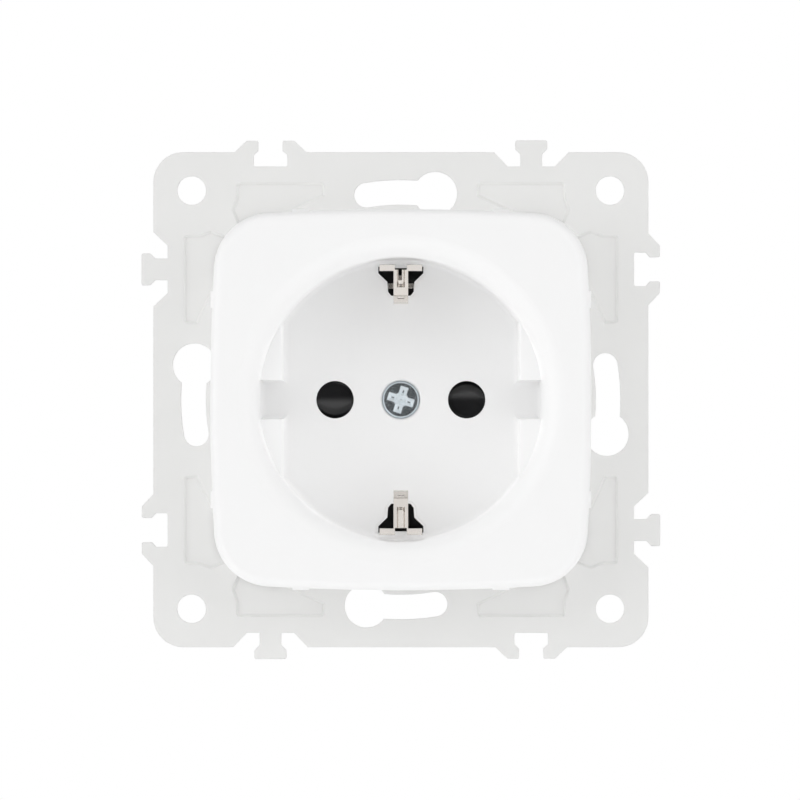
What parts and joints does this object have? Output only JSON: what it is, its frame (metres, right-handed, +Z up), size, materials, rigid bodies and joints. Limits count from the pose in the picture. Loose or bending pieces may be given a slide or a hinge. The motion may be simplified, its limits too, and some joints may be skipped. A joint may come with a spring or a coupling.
{
  "type": "wall socket",
  "caption": "Flush-mounted earthed socket insert: white cover with a round plug well, spring earth clips, shutter and a square steel mounting plate.",
  "frame": {"origin": "middle of the mounting plate on the wall plane, which is the back of the pressed pads", "axes": "-Y out of the wall into the room, +Z up, +X to the right of a person facing the socket"},
  "size_m": [0.0744, 0.0415, 0.0744],
  "materials": {
    "white_plastic": "satin gloss",
    "black_plastic": "fine moulded",
    "shutter_plastic": "gloss",
    "plate_paint": "satin",
    "nickel_plate": "nickel plated",
    "brass": "rolled",
    "zinc_steel": "zinc plated",
    "spring_steel": "drawn wire"
  },
  "bodies": {
    "insert": {"cover": "white_plastic", "cover_screw": "zinc_steel", "shutter_spring": "spring_steel", "contact_cover": "black_plastic", "contact_cover_screws": "zinc_steel", "mounting_plate": "plate_paint", "plate_rivets": "zinc_steel", "base": "black_plastic", "live_contact": "brass", "neutral_contact": "brass", "earth_strap": "nickel_plate", "threaded_bush": "brass", "live_clamp_plate": "zinc_steel", "neutral_clamp_plate": "zinc_steel", "earth_clamp_plate": "zinc_steel", "live_terminal_screw": "zinc_steel", "neutral_terminal_screw": "zinc_steel", "earth_terminal_screw": "zinc_steel"},
    "shutter": {"shutter": "shutter_plastic"},
    "right_claw": {"right_claw": "zinc_steel", "right_claw_screw": "zinc_steel"},
    "left_claw": {"left_claw": "zinc_steel", "left_claw_screw": "zinc_steel"}
  },
  "joints": [
    {"name": "shutter_turn", "type": "hinge", "parent": "insert", "child": "shutter", "pos_m": [0, 0.00925, 0], "axis": [0, 1, 0], "range_deg": [0, 36], "stiffness_Nm_per_rad": 0.004, "springref_deg": -17.19, "deforming": ["shutter_spring"]},
    {"name": "right_claw_spread", "type": "hinge", "parent": "insert", "child": "right_claw", "pos_m": [0.0227, -0.00338, 0.0096], "axis": [0, 0, -1], "range_deg": [0, 14]},
    {"name": "left_claw_spread", "type": "hinge", "parent": "insert", "child": "left_claw", "pos_m": [-0.0227, -0.00338, -0.0096], "axis": [0, 0, 1], "range_deg": [0, 14]}
  ]
}
